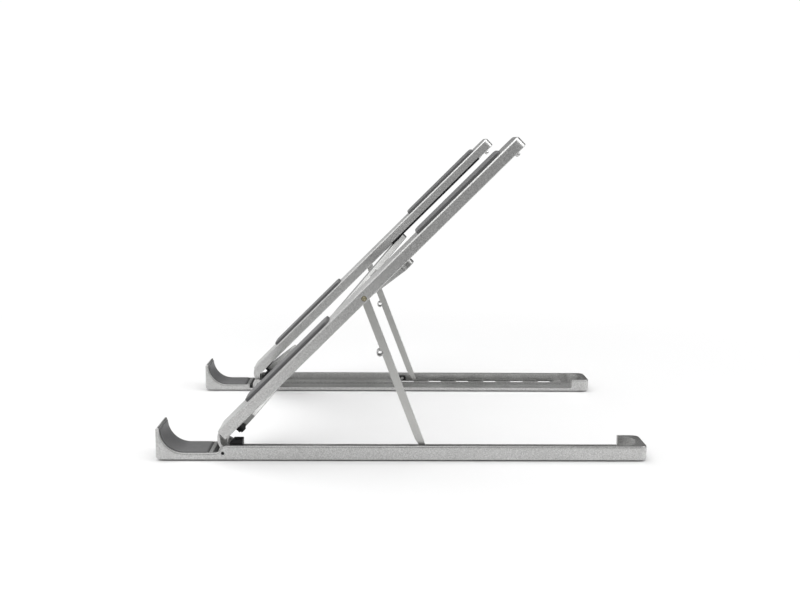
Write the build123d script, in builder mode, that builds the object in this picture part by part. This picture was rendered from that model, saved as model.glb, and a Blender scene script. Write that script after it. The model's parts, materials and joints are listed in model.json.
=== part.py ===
from build123d import *
import os
from math import asin, atan2, cos, degrees, hypot, radians, sin

# Folding aluminium laptop stand, open at its steepest setting.
# Two alike halves, each a low base with a front hook and an arm hinged to it, are joined by two
# crossbars that work as scissors under the arms. A strut on each arm stands in a slot of its base.
# The arms fold down onto the bases, and then the halves close up side by side.
#
# +X runs from the hooks to the rear, the left half is at +Y, +Z is up. The origin is on the desk,
# under the middle of the stand. All sizes are in millimetres.
# The right half is drawn, and the left half is its mirror image.

# Overall sizes
length = 250.0            # hook front to rear end, and arm tip when folded
half_width = 22.0         # width of one half
open_width = 172.0        # over both halves, opened out
folded_gap = 0.4          # between the halves when closed up
tilt = 45.0               # steepest arm angle

# Base
foot_stand = 0.5          # how far the rubber feet stand below the base
wall_height = 7.8         # top of the outer wall
wall_thick = 2.5
floor_height = 2.0
lip_height = 2.6          # low rounded lip along the inner edge
lip_width = 1.3
channel_front = 28.4
channel_rear = 238.6      # the channel is open at its inner side up to here
end_radius = 8.6          # full-radius rear end of the channel
corner_radius = 4.0       # rear corners, seen from above

# Hook
hook_height = 17.0
hook_tip = 1.7            # thickness at the top of the hook
hook_flat = 4.0           # height of the flat that the laptop's edge stands on
hook_run = 14.6           # where the hook's curve meets the flat
pad_thick = 1.5
pad_proud = 0.5           # how far the hook pad stands above the metal
pad_margin = 1.5

# Slots for the strut foot
shelf_height = 3.8
shelf_inner = 12.0        # from the inner face
lane_centre = 16.0        # middle of the strut, from the inner face
slot_count = 6
slot_length = 8.8
slot_width = 6.6
slot_pitch = 18.1
first_slot = 131.6        # middle of the first slot, from the hook front
lane_width = 4.8
lane_floor = 1.2

# Hinge between base and arm
hinge_x = 33.7
hinge_z = 4.0
knuckle_radius = 2.6
pin_diameter = 1.8
running_fit = 0.07        # radial clearance of a turning pin

# Arm, along (s) and square to (e) the line from the hinge
arm_reach = length - hinge_x
arm_under = 3.9
arm_top = 9.6
arm_shoulder = 6.2        # the arm has its full width from here on
trough_roof = 8.1
trough_end = 194.0
arm_pad_width = 17.0
arm_pad_sink = 0.4
arm_pad_proud = 1.6
lower_pad_span = (26.5, 85.2)
upper_pad_span = (147.7, 204.9)
bumper_s = 210.7          # catch under the tip, which drops into the base's rear end

# Strut
strut_s = 106.6
strut_e = 5.8
strut_thick = 3.8
strut_width = 6.2
strut_lean = 68.9         # below the horizontal, standing in the first slot
foot_tip = 4.3            # height of the foot's lowest point
foot_radius = 1.1
foot_back = 0.8           # the foot's round is set back towards the rear face
tongue_width = 4.0
tongue_length = 9.0
taper_length = 6.5

# Crossbars, under the arms
pivot_s = 12.0            # lower pivots, along the arm
slider_s = 132.4          # upper sliding ends when opened out
pivot_lane = 7.5          # pivots and slide rails, from the inner face
bar_width = 8.0
bar_low = 0.1
bar_high = 3.4
lap_half = 54.0           # each bar is half as thick this far each side of the middle
lap_gap = 0.1
cap_half = 2.0            # black end cap round the lower pivot
rail_span = (127.0, 206.0)
rail_width = 7.6
rail_low = 3.5
rail_high = 7.2
flange_inner = 0.15       # black flange of the rail along the arm's inner edge
flange_high = 4.8
flange_end = 204.0        # short of the base's closed rear end when folded

# Fasteners and small fits
edge_break = 0.4
lip_front = 38.6
lane_end = 230.0
ear_span = (1.3, 4.2)     # from the inner face
tongue_span = (4.5, 19.1)
trough_span = (12.3, 19.3)
block_span = (12.9, 18.9)
pad_rear = 26.6
pad_top = 16.1            # the hook pad ends just below the hook's tip
pad_top_x = 0.8
screw_radius = 0.7
screw_head = 1.0
screw_socket = 0.5
rivet_inner = 9.0
rivet_radius = 1.1
rivet_head = 1.45
rivet_head_depth = 0.9
arm_pad_corner = 3.0
pivot_radius = 1.2
pivot_shank_top = 7.9
pivot_head = 1.7
washer_radius = 2.1
bumper_radius = 1.3
bumper_sink = 0.8
bumper_proud = 2.4
roll_pin_reach = 29.2
roll_pin_radius = 1.7
roll_pin_rise = 0.8       # its middle, above the strut's front face
roll_pin_wall = 0.6
cap_width = 4.4
bar_tongue = 3.2
tongue_back = 1.6
tongue_low = 1.1
tongue_high = 2.4
slider_foot = 0.8
slider_neck = 1.3
slider_head = 2.5
slider_ledge = 4.7        # underside of the slider's head way in the rail
centre_radius = 1.5
centre_head = 3.0
rivet_sink = 0.6

# Derived places
front = -length / 2
inner = open_width / 2 - half_width
along = (cos(radians(tilt)), 0, sin(radians(tilt)))
square = (-sin(radians(tilt)), 0, cos(radians(tilt)))
arm_line = Axis((0, 0, 0), along)
square_line = Axis((0, 0, 0), square)
pivot_y = inner + pivot_lane
bar_length = hypot(2 * pivot_y, slider_s - pivot_s)
bar_angle = degrees(atan2(2 * pivot_y, slider_s - pivot_s))
closed_y = folded_gap / 2 + pivot_lane
closed_angle = degrees(asin(2 * closed_y / bar_length))
lap_middle = (bar_low + bar_high) / 2
strut_z = hinge_z + strut_s * along[2] + strut_e * square[2]
lean_sin = sin(radians(strut_lean))
lean_cos = cos(radians(strut_lean))
foot_reach = (strut_z - foot_tip - foot_radius + foot_back * lean_cos) / lean_sin


def side_plane(lane):
    """Side view of the base: x from the hook front, y is height, lane from the inner face."""
    return Plane(origin=(front, -inner - lane, 0), x_dir=(1, 0, 0), z_dir=(0, -1, 0))


def plan_plane(height):
    """The base seen from below: x from the hook front, y from the inner face, extrudes down."""
    return Plane(origin=(front, -inner, height), x_dir=(1, 0, 0), z_dir=(0, 0, -1))


def on_arm(s, y, e):
    """A point given along the arm, across the stand and square to the arm."""
    return (
        front + hinge_x + s * along[0] + e * square[0],
        y,
        hinge_z + s * along[2] + e * square[2],
    )


def arm_side(lane):
    """Side view of the arm: x along it from the hinge, y square to it."""
    return Plane(origin=on_arm(0, -inner - lane, 0), x_dir=along, z_dir=(0, -1, 0))


def arm_plan(e):
    """The arm seen from below: x along it, y from the inner face, extrudes towards the desk."""
    return Plane(origin=on_arm(0, -inner, e), x_dir=along, z_dir=[-k for k in square])


def strut_side(lane):
    """Side view of the strut: x from its pivot to its foot, y towards its front face."""
    return Plane(
        origin=on_arm(strut_s, -inner - lane, strut_e),
        x_dir=(lean_cos, 0, -lean_sin),
        z_dir=(0, 1, 0),
    )


def bar_plane(side, e):
    """Plan of a crossbar: x from its lower pivot to its sliding end, extrudes up."""
    run = (
        cos(radians(bar_angle)) * along[0],
        -side * sin(radians(bar_angle)),
        cos(radians(bar_angle)) * along[2],
    )
    return Plane(origin=on_arm(pivot_s, side * pivot_y, e), x_dir=run, z_dir=square)


# ---------------------------------------------------------------- right half: base and its pieces
channel_lane = half_width - wall_thick
pad_sink = pad_thick - pad_proud
bed_middle = (4.7, 6.9)     # halfway round the hook, under the pad
rise_middle = (6.0, 7.9)    # and on it
foot_spots = {"front_foot": 19.3, "rear_foot": 229.6}
foot_size = (9.4, 15.0)
foot_sink = 0.9
ear_radius = 3.3
shelf_span = (47.0, 234.0)
liner_span = (28.4, 30.3)   # black filler between the hook's flat and the knuckle
liner_lanes = (0.5, 19.4)
liner_top = 3.7
hinge_block_span = (36.7, 43.4)
hinge_block_top = 10.2
hinge_block_bevel = 1.9     # clears the arm's trough as it folds
stop_span = (125.6, 130.4)
stop_top = 6.2
stop_inner = 16.5
screw_spot = (128.0, 5.0)
counterbore = 0.9
right_pieces = {}

with BuildPart() as base:
    with BuildSketch(side_plane(0)):
        with BuildLine():
            sole = Line((2.2, foot_stand), (length - 1.6, foot_stand))
            rear = Line(sole @ 1, (length, foot_stand + 1.6))
            back = Line(rear @ 1, (length, wall_height))
            top = Line(back @ 1, (35.6, wall_height))
            step = Spline(top @ 1, (30.0, hook_flat), tangents=((-1, 0), (-1, 0)))
            flat = Line(step @ 1, (hook_run, hook_flat))
            curve = ThreePointArc(flat @ 1, (5.4, 7.6), (hook_tip, hook_height - 0.6))
            brow = (hook_tip / 2 + 0.1, hook_height)
            lip = ThreePointArc(curve @ 1, brow, (0, hook_height - 0.8))
            face = Line(lip @ 1, (0, foot_stand + 2.2))
            RadiusArc(face @ 1, sole @ 0, -2.2)
        make_face()
    extrude(amount=half_width)
    # Rounded rear corners, then a fine chamfer along both side faces, round the hook and corners
    fillet(base.edges().filter_by(Axis.Z).group_by(Axis.X)[-1], corner_radius)
    for face_rank in (0, -1):
        for edge_rank in (-1, 0):
            side_face = base.faces().sort_by(Axis.Y)[face_rank]
            long_edges = side_face.edges().filter_by(Axis.X).group_by(Edge.length)[-2:]
            chamfer(ShapeList(sum(long_edges, [])).sort_by(Axis.Z)[edge_rank], edge_break)
    # Channel, open to the inner side, with a full-radius rear end
    with BuildSketch(plan_plane(hook_height)):
        with Locations(((channel_front + channel_rear) / 2, channel_lane / 2 - 1)):
            Rectangle(channel_rear - channel_front, channel_lane + 2)
        with Locations((channel_rear - 0.5, half_width / 2)):
            Circle(end_radius)
    extrude(amount=hook_height - floor_height, mode=Mode.SUBTRACT)
    # Inner lip
    with BuildSketch(side_plane(0)):
        with Locations(((lip_front + channel_rear) / 2, (floor_height + lip_height) / 2)):
            Rectangle(channel_rear - lip_front, lip_height - floor_height)
    extrude(amount=lip_width)
    # Shelf with the strut slots, and the lane that the strut foot travels in
    with BuildSketch(plan_plane(shelf_height)):
        with Locations((sum(shelf_span) / 2, (shelf_inner + channel_lane) / 2)):
            Rectangle(shelf_span[1] - shelf_span[0], channel_lane - shelf_inner)
    extrude(amount=shelf_height - floor_height)
    with BuildSketch(plan_plane(shelf_height)):
        with Locations((first_slot + slot_pitch * (slot_count - 1) / 2, lane_centre)):
            with GridLocations(slot_pitch, 1, slot_count, 1):
                RectangleRounded(slot_length, slot_width, 1.0)
        with Locations(((first_slot + lane_end) / 2, lane_centre)):
            SlotOverall(lane_end - first_slot, lane_width)
    extrude(amount=shelf_height - lane_floor, mode=Mode.SUBTRACT)
    # Ear that holds the inner end of the hinge pin
    with BuildSketch(side_plane(ear_span[0])):
        with Locations((hinge_x, hinge_z)):
            Circle(ear_radius)
        with Locations((hinge_x, (hinge_z + floor_height) / 2)):
            Rectangle(2 * ear_radius, hinge_z - floor_height)
    extrude(amount=ear_span[1] - ear_span[0])
    # Hollow in the floor below the knuckle
    with BuildSketch(side_plane(ear_span[1])):
        with Locations((hinge_x, hinge_z)):
            Circle(knuckle_radius + 0.4)
    extrude(amount=channel_lane - ear_span[1], mode=Mode.SUBTRACT)
    # Bore of the hinge pin, through ear and wall
    with BuildSketch(side_plane(0)):
        with Locations((hinge_x, hinge_z)):
            Circle(pin_diameter / 2)
    extrude(amount=half_width, mode=Mode.SUBTRACT)
    # Blind hole for the stop block's screw
    with BuildSketch(side_plane(channel_lane)):
        with Locations(screw_spot):
            Circle(screw_radius)
    extrude(amount=wall_thick - 0.8, mode=Mode.SUBTRACT)
    # Bed of the hook pad, set into the hook's curve
    with BuildSketch(side_plane(pad_margin)):
        with BuildLine():
            bed = Line((pad_rear, hook_flat - pad_sink), (hook_run, hook_flat - pad_sink))
            bend = ThreePointArc(bed @ 1, bed_middle, (pad_top_x, pad_top))
            brink = Line(bend @ 1, (hook_tip + 3, pad_top))
            mouth = ThreePointArc(brink @ 1, (8.6, 9.2), (hook_run, hook_flat + 2))
            lid = Line(mouth @ 1, (pad_rear, hook_flat + 2))
            Line(lid @ 1, bed @ 0)
        make_face()
    extrude(amount=half_width - 2 * pad_margin, mode=Mode.SUBTRACT)
    # Pockets for the rubber feet
    with BuildSketch(plan_plane(foot_stand + foot_sink)):
        with Locations(*[(x, half_width / 2) for x in foot_spots.values()]):
            RectangleRounded(*foot_size, 2.0)
    extrude(amount=foot_sink, mode=Mode.SUBTRACT)
right_pieces["base"] = base

with BuildPart() as hook_pad:
    with BuildSketch(side_plane(pad_margin)):
        with BuildLine():
            bed = Line((pad_rear, hook_flat - pad_sink), (hook_run, hook_flat - pad_sink))
            bend = ThreePointArc(bed @ 1, bed_middle, (pad_top_x, pad_top))
            brink = Line(bend @ 1, (pad_top_x + pad_thick, pad_top))
            rise = ThreePointArc(brink @ 1, rise_middle, (hook_run, hook_flat + pad_proud))
            top = Line(rise @ 1, (pad_rear - 1.2, hook_flat + pad_proud))
            Line(top @ 1, bed @ 0)
        make_face()
    extrude(amount=half_width - 2 * pad_margin)
right_pieces["hook_pad"] = hook_pad

for foot_name, foot_spot in foot_spots.items():
    with BuildPart() as rubber_foot:
        with BuildSketch(plan_plane(foot_stand + foot_sink)):
            with Locations((foot_spot, half_width / 2)):
                RectangleRounded(*foot_size, 2.0)
        extrude(amount=foot_stand + foot_sink)
        fillet(rubber_foot.edges().group_by(Axis.Z)[0], 0.25)
    right_pieces[foot_name] = rubber_foot

with BuildPart() as hinge_pin:
    with BuildSketch(side_plane(ear_span[0])):
        with Locations((hinge_x, hinge_z)):
            Circle(pin_diameter / 2)
    extrude(amount=half_width - ear_span[0] - 0.5)
right_pieces["hinge_pin"] = hinge_pin

with BuildPart() as hinge_liner:
    with BuildSketch(side_plane(liner_lanes[0])):
        with Locations((sum(liner_span) / 2, (floor_height + liner_top) / 2)):
            Rectangle(liner_span[1] - liner_span[0], liner_top - floor_height)
    extrude(amount=liner_lanes[1] - liner_lanes[0])
    fillet(hinge_liner.edges().filter_by(Axis.Y).group_by(Axis.Z)[-1], 0.3)
right_pieces["hinge_liner"] = hinge_liner

with BuildPart() as hinge_block:
    with BuildSketch(side_plane(block_span[0])):
        with BuildLine():
            Polyline(
                (hinge_block_span[0], floor_height),
                (hinge_block_span[1], floor_height),
                (hinge_block_span[1], hinge_block_top),
                (hinge_block_span[0] + hinge_block_bevel, hinge_block_top),
                (hinge_block_span[0], hinge_block_top - hinge_block_bevel),
                close=True,
            )
        make_face()
    extrude(amount=block_span[1] - block_span[0])
    fillet(hinge_block.edges().filter_by(Axis.Y).group_by(Axis.Z)[-1], 0.5)
right_pieces["hinge_block"] = hinge_block

with BuildPart() as stop_block:
    with BuildSketch(side_plane(stop_inner)):
        with Locations((sum(stop_span) / 2, (shelf_height + stop_top) / 2)):
            Rectangle(stop_span[1] - stop_span[0], stop_top - shelf_height)
    extrude(amount=channel_lane - stop_inner)
    fillet(stop_block.edges().filter_by(Axis.Y).group_by(Axis.Z)[-1], 0.4)
    for radius, depth in ((screw_head, counterbore), (screw_radius, half_width)):
        with BuildSketch(side_plane(stop_inner)):
            with Locations(screw_spot):
                Circle(radius)
        extrude(amount=depth, mode=Mode.SUBTRACT)
right_pieces["stop_block"] = stop_block

with BuildPart() as stop_screw:
    # Head with a hexagonal socket, sunk in the block, and a shank into the wall
    with BuildSketch(side_plane(stop_inner + 0.1)):
        with Locations(screw_spot):
            Circle(screw_head)
            RegularPolygon(screw_socket, 6, mode=Mode.SUBTRACT)
    extrude(amount=counterbore - 0.4)
    with BuildSketch(side_plane(stop_inner + counterbore - 0.3)):
        with Locations(screw_spot):
            Circle(screw_head)
    extrude(amount=0.3)
    with BuildSketch(side_plane(stop_inner + counterbore)):
        with Locations(screw_spot):
            Circle(screw_radius)
    extrude(amount=half_width - 1.0 - stop_inner - counterbore)
right_pieces["stop_screw"] = stop_screw

# ---------------------------------------------------------------- right half: arm and its pieces
with BuildPart() as arm:
    # Full-width body
    with BuildSketch(arm_plan(arm_top)):
        with Locations(((arm_shoulder + arm_reach) / 2, half_width / 2)):
            Rectangle(arm_reach - arm_shoulder, half_width)
    extrude(amount=arm_top - arm_under)
    fillet(arm.edges().filter_by(Axis((0, 0, 0), square)).group_by(arm_line)[-1], corner_radius)
    top_edges = arm.faces().sort_by(square_line)[-1].edges().sort_by(arm_line)[1:]
    chamfer(top_edges, 0.6)
    under_edges = arm.faces().sort_by(square_line)[0].edges().sort_by(arm_line)[1:]
    chamfer(under_edges, 0.3)
    # Narrow lower end with a rounded brow and the knuckle
    with BuildSketch(arm_side(tongue_span[0])):
        with BuildLine():
            brow = ThreePointArc((8.4, arm_top), (3.5, 7.7), (0.4, 2.5))
            chin = Line(brow @ 1, (2.4, 1.0))
            web = Line(chin @ 1, (5.3, arm_under))
            under = Line(web @ 1, (8.4, arm_under))
            Line(under @ 1, brow @ 0)
        make_face()
        Circle(knuckle_radius)
    extrude(amount=tongue_span[1] - tongue_span[0])
    # Trough that stows the strut and clears the hinge block
    with BuildSketch(arm_side(trough_span[0])):
        with BuildLine():
            Polyline(
                (2.0, 4.0),
                (5.2, trough_roof),
                (trough_end, trough_roof),
                (trough_end, -1.0),
                (3.0, -1.0),
                (3.0, 1.2),
                (2.0, 2.2),
                close=True,
            )
        make_face()
    extrude(amount=trough_span[1] - trough_span[0], mode=Mode.SUBTRACT)
    # Bore of the hinge pin
    with BuildSketch(arm_side(0)):
        Circle(pin_diameter / 2 + running_fit)
    extrude(amount=half_width, mode=Mode.SUBTRACT)
    # Bore of the strut's rivet, with a counterbore on the outer side
    with BuildSketch(arm_side(rivet_inner)):
        with Locations((strut_s, strut_e)):
            Circle(rivet_radius)
    extrude(amount=half_width - rivet_inner, mode=Mode.SUBTRACT)
    with BuildSketch(arm_side(half_width - rivet_head_depth)):
        with Locations((strut_s, strut_e)):
            Circle(rivet_head)
    extrude(amount=rivet_head_depth, mode=Mode.SUBTRACT)
    # Pockets for the pads
    for pad_span in (lower_pad_span, upper_pad_span):
        with BuildSketch(arm_plan(arm_top)):
            with Locations((sum(pad_span) / 2, half_width / 2)):
                RectangleRounded(pad_span[1] - pad_span[0], arm_pad_width, arm_pad_corner)
        extrude(amount=arm_pad_sink, mode=Mode.SUBTRACT)
    # Pocket for the slide rail, hole for the crossbar's rivet, hole for the bumper
    with BuildSketch(arm_plan(rail_high)):
        with Locations((sum(rail_span) / 2, pivot_lane)):
            RectangleRounded(rail_span[1] - rail_span[0], rail_width, 1.0)
    extrude(amount=rail_high - arm_under, mode=Mode.SUBTRACT)
    with BuildSketch(arm_plan(flange_high)):
        with Locations(((rail_span[0] + flange_end) / 2, (pivot_lane - 1) / 2)):
            Rectangle(flange_end - rail_span[0], pivot_lane + 1)
    extrude(amount=flange_high - arm_under, mode=Mode.SUBTRACT)
    with BuildSketch(arm_plan(pivot_shank_top)):
        with Locations((pivot_s, pivot_lane)):
            Circle(pivot_radius)
    extrude(amount=pivot_shank_top - arm_under, mode=Mode.SUBTRACT)
    with BuildSketch(arm_plan(arm_under + bumper_sink)):
        with Locations((bumper_s, half_width / 2)):
            Circle(bumper_radius)
    extrude(amount=bumper_sink, mode=Mode.SUBTRACT)
right_pieces["arm"] = arm

for pad_name, pad_span in (("lower_pad", lower_pad_span), ("upper_pad", upper_pad_span)):
    with BuildPart() as arm_pad:
        with BuildSketch(arm_plan(arm_top + arm_pad_proud)):
            with Locations((sum(pad_span) / 2, half_width / 2)):
                RectangleRounded(pad_span[1] - pad_span[0], arm_pad_width, arm_pad_corner)
        extrude(amount=arm_pad_proud + arm_pad_sink)
        fillet(arm_pad.faces().sort_by(square_line)[-1].edges(), 0.4)
    right_pieces[pad_name] = arm_pad

with BuildPart() as tip_bumper:
    with BuildSketch(arm_plan(arm_under + bumper_sink)):
        with Locations((bumper_s, half_width / 2)):
            Circle(bumper_radius)
    extrude(amount=bumper_sink + bumper_proud)
    fillet(tip_bumper.edges().sort_by(square_line)[0], 0.7)
right_pieces["tip_bumper"] = tip_bumper

with BuildPart() as slide_rail:
    rail_middle = (sum(rail_span) / 2, pivot_lane)
    with BuildSketch(arm_plan(rail_high)):
        with Locations(rail_middle):
            RectangleRounded(rail_span[1] - rail_span[0], rail_width, 1.0)
    extrude(amount=rail_high - rail_low)
    with BuildSketch(arm_plan(flange_high)):
        with Locations(((rail_span[0] + flange_end) / 2, (flange_inner + pivot_lane) / 2)):
            Rectangle(flange_end - rail_span[0], pivot_lane - flange_inner)
    extrude(amount=flange_high - rail_low)
    # T-shaped slot: a narrow mouth for the slider's neck, a wider way above for its head
    with BuildSketch(arm_plan(rail_high - 0.7)):
        with Locations(rail_middle):
            SlotOverall(rail_span[1] - rail_span[0] - 3, 2 * slider_head + 0.7)
    extrude(amount=rail_high - 0.7 - slider_ledge, mode=Mode.SUBTRACT)
    with BuildSketch(arm_plan(slider_ledge)):
        with Locations(rail_middle):
            SlotOverall(rail_span[1] - rail_span[0] - 5, 2 * slider_neck + 0.6)
    extrude(amount=slider_ledge - rail_low, mode=Mode.SUBTRACT)
right_pieces["slide_rail"] = slide_rail

with BuildPart() as strut_rivet:
    with BuildSketch(arm_side(rivet_inner)):
        with Locations((strut_s, strut_e)):
            Circle(rivet_radius)
    extrude(amount=half_width - rivet_inner - rivet_head_depth)
    with BuildSketch(arm_side(half_width - rivet_head_depth)):
        with Locations((strut_s, strut_e)):
            Circle(rivet_head)
    extrude(amount=rivet_head_depth - 0.1)
    fillet(strut_rivet.edges().sort_by(Axis.Y)[0], 0.2)
right_pieces["strut_rivet"] = strut_rivet

with BuildPart() as crossbar_rivet:
    with BuildSketch(arm_plan(pivot_shank_top)):
        with Locations((pivot_s, pivot_lane)):
            Circle(pivot_radius)
    extrude(amount=pivot_shank_top - bar_low + 0.1)
    with BuildSketch(arm_plan(bar_low - 0.1)):
        with Locations((pivot_s, pivot_lane)):
            Circle(pivot_head)
    extrude(amount=0.7)
    fillet(crossbar_rivet.edges().sort_by(square_line)[0], 0.3)
right_pieces["crossbar_rivet"] = crossbar_rivet

with BuildPart() as pivot_washer:
    with BuildSketch(arm_plan(arm_under)):
        with Locations((pivot_s, pivot_lane)):
            Circle(washer_radius)
            Circle(pivot_radius, mode=Mode.SUBTRACT)
    extrude(amount=arm_under - bar_high - 0.05)
right_pieces["pivot_washer"] = pivot_washer

# ---------------------------------------------------------------- right half: strut
with BuildPart() as strut:
    half_thick = strut_thick / 2
    with BuildSketch(strut_side(lane_centre + strut_width / 2)):
        with BuildLine():
            head = ThreePointArc((0, half_thick), (-half_thick, 0), (0, -half_thick))
            rear_face = Line(head @ 1, (foot_reach - 0.3, -half_thick))
            heel = (foot_reach + foot_radius, -foot_back)
            sole = ThreePointArc(rear_face @ 1, heel, (foot_reach + 0.3, foot_radius - foot_back))
            taper = Line(sole @ 1, (foot_reach - taper_length, half_thick))
            Line(taper @ 1, head @ 0)
        make_face()
    extrude(amount=strut_width)
    # Narrow foot, which enters the slots
    shoulder = foot_reach - tongue_length
    for side in (-1, 1):
        edge_lane = lane_centre + side * (strut_width + tongue_width) / 4
        with BuildSketch(strut_side(edge_lane + (strut_width - tongue_width) / 4)):
            with Locations((shoulder + tongue_length, 0)):
                Rectangle(2 * tongue_length, 2 * strut_thick)
        extrude(amount=(strut_width - tongue_width) / 2, mode=Mode.SUBTRACT)
    # Bore of the pivot rivet, and the seat of the roll pin in the front edge
    with BuildSketch(strut_side(half_width)):
        Circle(rivet_radius + running_fit)
        with Locations((roll_pin_reach, half_thick + roll_pin_rise)):
            Circle(roll_pin_radius)
    extrude(amount=half_width, mode=Mode.SUBTRACT)
right_pieces["strut"] = strut

with BuildPart() as strut_roll_pin:
    with BuildSketch(strut_side(lane_centre + strut_width / 2)):
        with Locations((roll_pin_reach, half_thick + roll_pin_rise)):
            Circle(roll_pin_radius)
            Circle(roll_pin_radius - roll_pin_wall, mode=Mode.SUBTRACT)
        with Locations((roll_pin_reach, half_thick)):
            Rectangle(0.6, 2 * roll_pin_radius - roll_pin_rise, mode=Mode.SUBTRACT)
    extrude(amount=strut_width)
right_pieces["strut_roll_pin"] = strut_roll_pin


# ---------------------------------------------------------------- crossbars, across both halves
def crossbar(side, thinned_from, thinned_to):
    """A crossbar from the lower pivot on one side; the middle is cut away between two levels."""
    with BuildPart() as bar:
        with BuildSketch(bar_plane(side, bar_low)):
            with BuildLine():
                butt = Line((cap_half, -cap_width / 2), (cap_half, cap_width / 2))
                flare = Line(butt @ 1, (cap_half + 6, bar_width / 2))
                edge = Line(flare @ 1, (bar_length, bar_width / 2))
                nose = (bar_length + bar_width / 2, 0)
                bow = ThreePointArc(edge @ 1, nose, (bar_length, -bar_width / 2))
                back_edge = Line(bow @ 1, (cap_half + 6, -bar_width / 2))
                Line(back_edge @ 1, butt @ 0)
            make_face()
        extrude(amount=bar_high - bar_low)
        for bar_face in (bar.faces().sort_by(square_line)[0], bar.faces().sort_by(square_line)[-1]):
            chamfer(bar_face.edges(), 0.3)
        with BuildSketch(bar_plane(side, thinned_from)):
            with Locations((bar_length / 2, 0)):
                Rectangle(2 * lap_half, 2 * bar_width)
        extrude(amount=thinned_to - thinned_from, mode=Mode.SUBTRACT)
        # Tongue inside the end cap
        with BuildSketch(bar_plane(side, tongue_low)):
            with Locations(((cap_half - tongue_back) / 2, 0)):
                Rectangle(cap_half + tongue_back, bar_tongue)
        extrude(amount=tongue_high - tongue_low)
        # Bores of the pivot, the middle rivet and the slider
        with BuildSketch(bar_plane(side, 0)):
            Circle(pivot_radius + running_fit)
        extrude(amount=bar_high, mode=Mode.SUBTRACT)
        with BuildSketch(bar_plane(side, slider_foot)):
            with Locations((bar_length, 0)):
                Circle(slider_neck)
        extrude(amount=bar_high, mode=Mode.SUBTRACT)
    return bar


def crossbar_cap(side):
    """Black cap on the bar's lower end, which turns on the arm's rivet."""
    with BuildPart() as cap:
        with BuildSketch(bar_plane(side, bar_low)):
            RectangleRounded(2 * cap_half, cap_width, 1.2)
        extrude(amount=bar_high - bar_low)
        with BuildSketch(bar_plane(side, tongue_low)):
            with Locations(((cap_half - tongue_back) / 2, 0)):
                Rectangle(cap_half + tongue_back, bar_tongue)
        extrude(amount=tongue_high - tongue_low, mode=Mode.SUBTRACT)
        with BuildSketch(bar_plane(side, 0)):
            Circle(pivot_radius + running_fit)
        extrude(amount=bar_high, mode=Mode.SUBTRACT)
    return cap


def crossbar_slider(side):
    """Headed pin in the bar's upper end, which slides in the other arm's rail."""
    with BuildPart() as slider:
        with BuildSketch(bar_plane(side, slider_foot)):
            with Locations((bar_length, 0)):
                Circle(slider_neck)
        extrude(amount=slider_ledge + 0.15 - slider_foot)
        with BuildSketch(bar_plane(side, slider_ledge + 0.15)):
            with Locations((bar_length, 0)):
                Circle(slider_head)
        extrude(amount=rail_high - 0.8 - slider_ledge - 0.15)
        fillet(slider.edges().sort_by(square_line)[-1], 0.3)
    return slider


lap_top = lap_middle + lap_gap / 2
lap_bottom = lap_middle - lap_gap / 2
upper_bar = crossbar(-1, bar_low - 1, lap_top)
lower_bar = crossbar(1, lap_bottom, bar_high + 1)
with BuildPart() as crossbar_a:
    add(upper_bar.part)
    with BuildSketch(bar_plane(-1, bar_high - rivet_sink)):
        with Locations((bar_length / 2, 0)):
            Circle(centre_head)
    extrude(amount=rivet_sink, mode=Mode.SUBTRACT)
    with BuildSketch(bar_plane(-1, bar_low)):
        with Locations((bar_length / 2, 0)):
            Circle(centre_radius)
    extrude(amount=bar_high, mode=Mode.SUBTRACT)

with BuildPart() as crossbar_b:
    add(lower_bar.part)
    with BuildSketch(bar_plane(1, bar_low)):
        with Locations((bar_length / 2, 0)):
            Circle(centre_head + 0.3)
    extrude(amount=rivet_sink + 0.1, mode=Mode.SUBTRACT)
    with BuildSketch(bar_plane(1, bar_low)):
        with Locations((bar_length / 2, 0)):
            Circle(centre_radius + running_fit)
    extrude(amount=bar_high, mode=Mode.SUBTRACT)

with BuildPart() as centre_rivet:
    for level, radius, height in (
        (bar_low + 0.05, centre_head, rivet_sink - 0.05),
        (bar_low + rivet_sink, centre_radius, bar_high - bar_low - 2 * rivet_sink),
        (bar_high - rivet_sink, centre_head, rivet_sink - 0.05),
    ):
        with BuildSketch(bar_plane(-1, level)):
            with Locations((bar_length / 2, 0)):
                Circle(radius)
        extrude(amount=height)

# ---------------------------------------------------------------- output
os.makedirs("parts", exist_ok=True)
pieces = {
    "crossbar_a": crossbar_a,
    "crossbar_b": crossbar_b,
    "crossbar_a_cap": crossbar_cap(-1),
    "crossbar_b_cap": crossbar_cap(1),
    "crossbar_a_slider": crossbar_slider(-1),
    "crossbar_b_slider": crossbar_slider(1),
    "centre_rivet": centre_rivet,
}
for piece_name, piece in right_pieces.items():
    with BuildPart() as twin:
        mirror(piece.part, about=Plane.XZ)
    pieces["right_" + piece_name] = piece
    pieces["left_" + piece_name] = twin
for piece_name, piece in pieces.items():
    piece.part.label = piece_name
    export_step(piece.part, "parts/" + piece_name + ".step")

fold_ratio = (tilt + strut_lean) / tilt
print("hinge", front + hinge_x, hinge_z, "strut pivot", on_arm(strut_s, 0, strut_e))
print("strut turns", fold_ratio, "times the arm, foot reach", foot_reach)
print("crossbar length", bar_length, "opened", bar_angle, "closed", closed_angle)
print("lower pivot", on_arm(pivot_s, pivot_y, arm_under), "middle", on_arm(
    (pivot_s + slider_s) / 2, 0, lap_middle))
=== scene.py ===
import json
import math

import bmesh
import bpy
from bpy.props import FloatProperty, FloatVectorProperty, IntProperty, PointerProperty
from mathutils import Matrix, Quaternion, Vector

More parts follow.
